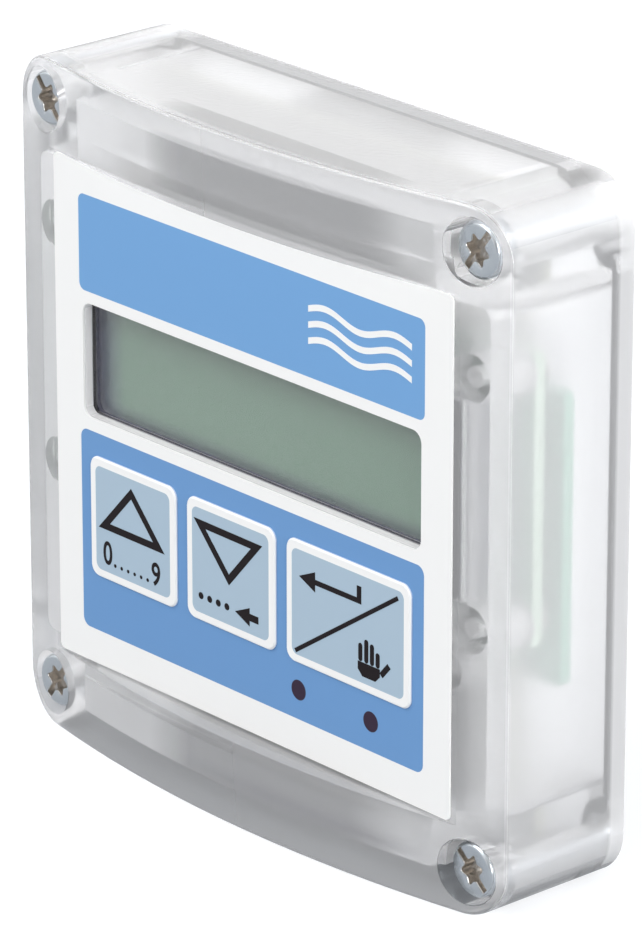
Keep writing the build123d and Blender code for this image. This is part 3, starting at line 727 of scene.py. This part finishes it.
def threaded_end(middle, start, end, outer=1.98, core=1.6, columns=36, rows_per_turn=8):
    # Thread whose flanks follow one helix, starting at full depth at the shank and pointed at the tip
    made = bmesh.new()
    rows = round((end - start) / thread_pitch * rows_per_turn)
    rings = []
    for row in range(rows + 1):
        y = start + (end - start) * row / rows
        limit = min(outer, 1.3 + (end - y) * 1.2)
        ring = []
        for column in range(columns):
            share = (y / thread_pitch + column / columns) % 1.0
            flank = 1 - abs(2 * share - 1)
            radius = min(limit, core + (outer - core) * min(1.0, flank * 1.25))
            turn = 2 * pi * column / columns
            across, up = middle[0] + radius * cos(turn), middle[1] + radius * sin(turn)
            ring.append(made.verts.new((across * MM, y * MM, up * MM)))
        rings.append(ring)
    for first, second in zip(rings, rings[1:]):
        for index in range(columns):
            after = (index + 1) % columns
            made.faces.new((first[index], first[after], second[after], second[index]))
    made.faces.new(rings[0])
    made.faces.new(rings[-1])
    return made


def cover_screw(name, middle, turn, edge=0.6, shank_radius=1.75, recess_depth=1.7, slot_depth=1.0):
    top = -(screw_seat + screw_head_height)
    quarter = [pi / 2 * index / 6 for index in range(7)]
    profile = [(0, top)]
    profile += [
        (screw_head_radius - edge + edge * sin(angle), top + edge - edge * cos(angle)) for angle in quarter
    ]
    profile += [(screw_head_radius, -screw_seat - 0.12), (screw_head_radius - 0.12, -screw_seat)]
    profile += [(shank_radius, -screw_seat), (shank_radius, 0.3), (0, 0.3)]
    head = loose(name, mesh_of(name, turned(profile, 96, middle)))
    cutters = []
    for outline, depth in ((lobed(turn), recess_depth), (slot_outline(turn), slot_depth)):
        cutter = loose("cutter", prism(outline, middle, top - 1.0, top + depth))
        cut = head.modifiers.new("cut", "BOOLEAN")
        cut.operation = "DIFFERENCE"
        cut.solver = "EXACT"
        cut.object = cutter
        cutters.append(cutter)
    soften = head.modifiers.new("soften", "BEVEL")
    soften.limit_method = "ANGLE"
    soften.angle_limit = radians(50)
    soften.width = 0.06 * MM
    soften.segments = 2
    cut_head = baked(head)
    for cutter in cutters:
        bpy.data.objects.remove(cutter)
    whole = threaded_end(middle, 0.1, 3.2)
    whole.from_mesh(cut_head)
    made = piece(name, mesh_of(name, whole), screw_steel)
    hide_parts(name)


for place, (side_x, side_z, turn) in screw_turns.items():
    cover_screw(f"cover_screw_{place}", (side_x * screw_place, side_z * screw_place), radians(turn))


def board_wings():
    # Side wings of the main board, which reach past the posts to the side walls
    whole = bmesh.new()
    corner = 0.8
    half_x, half_z = wing_size[0] / 2 - corner, wing_size[1] / 2 - corner
    turns = [(quadrant, radians(90 * quadrant + 15 * step)) for quadrant in range(4) for step in range(7)]
    outline = [
        (
            (half_x if quadrant in (0, 3) else -half_x) + corner * cos(turn),
            (half_z if quadrant < 2 else -half_z) + corner * sin(turn),
        )
        for quadrant, turn in turns
    ]
    for side in (-1, 1):
        wing = prism(outline, (side * wing_place[0], wing_place[1]), main_front, main_rear)
        whole.from_mesh(wing)
        bpy.data.meshes.remove(wing)
    piece("main_board_wings", mesh_of("main_board_wings", whole), wing_board)


board_wings()


# Small parts of the boards
def rounded_blocks(name, blocks, finishes, edge):
    # Blocks with soft edges, as (middle, size, number of the finish) in millimetres
    made = bmesh.new()
    for middle, size, number in blocks:
        new = bmesh.ops.create_cube(made, size=1.0)["verts"]
        for vertex in new:
            vertex.co = [(m + s * c) * MM for m, s, c in zip(middle, size, vertex.co)]
        for face in {face for vertex in new for face in vertex.link_faces}:
            face.material_index = number
    bmesh.ops.bevel(
        made,
        geom=list(made.edges),
        offset=edge * MM,
        segments=2,
        profile=0.7,
        affect="EDGES",
        clamp_overlap=True,
    )
    return piece(name, mesh_of(name, made), finishes)


def chip_parts(places, face, out, length=2.0, width=1.25, height=0.6, cap=0.4):
    # Blocks of small resistors or capacitors, each with two tinned ends
    blocks = []
    for across, up, upright in places:
        core = length - 2 * cap
        body = (width, height * 0.94, core) if upright else (core, height * 0.94, width)
        ends = (width * 1.02, height, cap) if upright else (cap, height, width * 1.02)
        y = face + out * height / 2
        blocks.append(((across, y, up), body, 0))
        for side in (-1, 1):
            shift = side * (length - cap) / 2
            middle = (across, y, up + shift) if upright else (across + shift, y, up)
            blocks.append((middle, ends, 1))
    return blocks


def solder_joints(name, places, face, out):
    # Cones of solder about the ends of pins, on a face that looks along out
    whole = bmesh.new()
    profile = [(0, 1.05), (0.26, 1.0), (0.3, 0.62), (0.42, 0.34)]
    profile += [(0.66, 0.1), (0.86, 0.02), (0.86, -0.04), (0, -0.04)]
    for place in places:
        joint = turned([(radius, face + out * level) for radius, level in profile], 14, place)
        part = bpy.data.meshes.new("joint")
        joint.to_mesh(part)
        joint.free()
        whole.from_mesh(part)
        bpy.data.meshes.remove(part)
    piece(name, mesh_of(name, whole), solder)


def pin_rows(middle_z, count):
    return [
        ((index - (count - 1) / 2) * pin_pitch, middle_z + row * pin_pitch / 2)
        for index in range(count)
        for row in (-1, 1)
    ]


def beside_capacitor(pin):
    return hypot(pin[0] - capacitor_place[0], pin[1] - capacitor_place[1]) > capacitor_clearance


display_pins = [pin for pin in pin_rows(18.0, 16) if beside_capacitor(pin)]
keypad_pins = pin_rows(-22.0, 8)
terminal_pins = [
    ((index - (poles - 1) / 2) * terminal_pitch, side * terminal_pin_z)
    for poles, side in ((upper_poles, 1), (lower_poles, -1))
    for index in range(poles)
]
relay_pins = [
    (relay_place[0] + side * relay_pin_spread[0], sign * (relay_place[1] + row * relay_pin_spread[1]))
    for sign in (-1, 1)
    for side in (-1, 1)
    for row in (-1, 1)
]
solder_joints("plug_joints", display_pins + keypad_pins, main_rear, 1)
solder_joints("terminal_joints", terminal_pins + relay_pins, main_front, -1)

resistors = [(-14.0 + 2.6 * index, 9.5, True) for index in range(5)]
resistors += [(12.6 + 2.6 * index, 8.6, True) for index in range(5)]
resistors += [(12.6 + 2.6 * index, -14.6, True) for index in range(6)]
resistors += [(-14.0 + 2.6 * index, -15.6, True) for index in range(6)]
resistors += [(-12.6, -4.0 + 2.4 * index, False) for index in range(4)]
rounded_blocks(
    "board_resistors",
    chip_parts(resistors, main_rear, 1, height=0.55),
    (plastic_black, solder),
    0.06,
)
capacitors = [(-8.4, -4.0 + 2.6 * index, False) for index in range(3)]
capacitors += [(16.0 + 3.6 * index, 23.0, True) for index in range(4)]
rounded_blocks(
    "board_capacitors",
    chip_parts(capacitors, main_rear, 1, height=1.1),
    (ceramic_tan, solder),
    0.08,
)
diodes = [(-15.4, 23.6, True), (-10.8, 23.6, True), (-6.2, 23.6, True)]
rounded_blocks(
    "board_diodes",
    chip_parts(diodes, main_rear, 1, length=4.8, width=2.8, height=2.0, cap=0.5),
    (plastic_black, solder),
    0.15,
)
crystal_base = ((20.5, main_rear + 0.25, -3.0), (12.6, 0.5, 5.0), 0)
crystal_can = ((20.5, main_rear + 1.9, -3.0), (11.2, 3.0, 4.0), 0)
rounded_blocks(
    "board_crystal",
    [crystal_base, crystal_can],
    (nickel,),
    0.24,
)
display_parts = [(side * 35.4, 2.0 + 4.0 * index, True) for side in (-1, 1) for index in range(4)]
rounded_blocks(
    "display_board_parts",
    chip_parts(display_parts, display_rear, 1),
    (ceramic_tan, solder),
    0.06,
)
keypad_parts = [(side * 33.6, -17.6 - 3.2 * index, True) for side in (-1, 1) for index in range(3)]
rounded_blocks(
    "keypad_board_parts",
    chip_parts(keypad_parts, keypad_rear, 1),
    (plastic_black, solder),
    0.06,
)


def terminal_clamps():
    # Steel cages that show in the wire entries of the two blocks
    made = bmesh.new()
    wall, width, tall, long = 0.35, 2.6, 2.8, 3.4
    entry_y = main_rear + 2.5
    for poles, side in ((upper_poles, 1), (lower_poles, -1)):
        mouth = side * (terminal_mouth_z + 0.7)
        for index in range(poles):
            across = (index - (poles - 1) / 2) * terminal_pitch
            loops = []
            for up in (mouth, mouth + side * long):
                for inset in (0.0, wall):
                    half_x, half_y = width / 2 - inset, tall / 2 - inset
                    loops.append(
                        [
                            made.verts.new(((across + a * half_x) * MM, (entry_y + b * half_y) * MM, up * MM))
                            for a, b in ((-1, -1), (1, -1), (1, 1), (-1, 1))
                        ]
                    )
            outer_near, inner_near, outer_far, inner_far = loops
            around = (outer_near, inner_near, inner_far, outer_far)
            for first, second in zip(around, around[1:] + around[:1]):
                for corner in range(4):
                    after = (corner + 1) % 4
                    made.faces.new((first[corner], first[after], second[after], second[corner]))
    piece("terminal_clamps", mesh_of("terminal_clamps", made), zinc)


terminal_clamps()


# Studio: a pale floor, a white surround and soft lamps
def light(name, place, size, power, target=(0.0, -0.01, 0.0)):
    lamp = bpy.data.lights.new(name, "AREA")
    lamp.shape = "RECTANGLE"
    lamp.size, lamp.size_y = size
    lamp.energy = power
    holder = bpy.data.objects.new(name, lamp)
    holder.location = place
    holder.rotation_euler = (Vector(place) - Vector(target)).to_track_quat("Z", "Y").to_euler()
    bpy.context.scene.collection.objects.link(holder)


def surround():
    # White to the camera and through clear plastic, with a dark side in reflections
    world = bpy.data.worlds.new("surround")
    bpy.context.scene.world = world
    world.use_nodes = True
    tree = world.node_tree
    back = tree.nodes["Background"]
    path = tree.nodes.new("ShaderNodeLightPath")
    shines = Field(tree, path.outputs["Is Glossy Ray"])
    seen = Field(tree, path.outputs["Is Camera Ray"])
    shows = seen.math("MAXIMUM", Field(tree, path.outputs["Is Transmission Ray"]))
    place = tree.nodes.new("ShaderNodeTexCoord")
    toward = tree.nodes.new("ShaderNodeVectorMath")
    toward.operation = "DOT_PRODUCT"
    toward.inputs[1].default_value = dark_side
    tree.links.new(place.outputs["Generated"], toward.inputs[0])
    dark = Field(tree, toward.outputs["Value"]).over(0.72, 0.5)
    strength = shines.mixed(ambient_light, 0.0) + dark.mixed(1.0, 0.3) * shines
    strength = strength.faded(shows, 1.0)
    tree.links.new(strength.socket, back.inputs["Strength"])
    back.inputs["Color"].default_value = (1.0, 1.0, 1.0, 1.0)


def pale_floor():
    half = 3.0
    level = cad_box[0][2]
    mesh = bpy.data.meshes.new("floor")
    corners = [(-half, -half, level), (half, -half, level), (half, half, level), (-half, half, level)]
    mesh.from_pydata(corners, [], [(0, 1, 2, 3)])
    floor = bpy.data.objects.new("floor", mesh)
    bpy.context.scene.collection.objects.link(floor)
    finish = Finish("floor", (172, 175, 179), 0.9)
    finish.vary("Roughness", finish.noise(0.02), 0.85, 0.95)
    tree = finish.tree
    path = tree.nodes.new("ShaderNodeLightPath")
    glow = tree.nodes.new("ShaderNodeEmission")
    add = tree.nodes.new("ShaderNodeAddShader")
    seen = Field(tree, path.outputs["Is Camera Ray"])
    through = Field(tree, path.outputs["Is Transmission Ray"])
    # Through clear plastic the floor glows only far from the part or behind it, which paints a soft shadow on
    # the floor about and in front of the part; to the camera it glows evenly
    outside_painted_shadow = finish.x.length(finish.y).over(70.0, 60.0).math("MAXIMUM", finish.y.over(14.0, 24.0))
    glow_strength = (seen.math("MAXIMUM", through * outside_painted_shadow)) * floor_glow
    tree.links.new(glow_strength.socket, glow.inputs["Strength"])
    tree.links.new(finish.shader.outputs[0], add.inputs[0])
    tree.links.new(glow.outputs[0], add.inputs[1])
    tree.links.new(add.outputs[0], tree.nodes["Material Output"].inputs["Surface"])
    mesh.materials.append(finish.material)


def aim_camera():
    data = bpy.data.cameras.new("camera")
    data.sensor_width = sensor_size
    data.lens = focal_pixels * sensor_size / image_height
    data.clip_start = 0.05
    data.clip_end = 20.0
    camera = bpy.data.objects.new("camera", data)
    azimuth, elevation = radians(camera_azimuth), radians(camera_elevation)
    back = Vector((sin(azimuth) * cos(elevation), -cos(azimuth) * cos(elevation), sin(elevation)))
    camera.location = camera_target + camera_distance * back
    camera.rotation_euler = back.to_track_quat("Z", "Y").to_euler()
    bpy.context.scene.collection.objects.link(camera)
    bpy.context.scene.camera = camera


surround()
pale_floor()
light("key_lamp", (-0.5, -0.95, 1.0), (0.9, 0.9), 12.0)
light("fill_lamp", (1.25, -0.35, 0.12), (0.8, 1.1), 11.0)
light("top_lamp", (0.1, 0.15, 1.2), (1.0, 0.8), 2.8)
light("back_lamp", (0.5, 1.1, 0.45), (1.0, 0.7), 6.5)
aim_camera()
bpy.context.scene.view_settings.view_transform = "Standard"
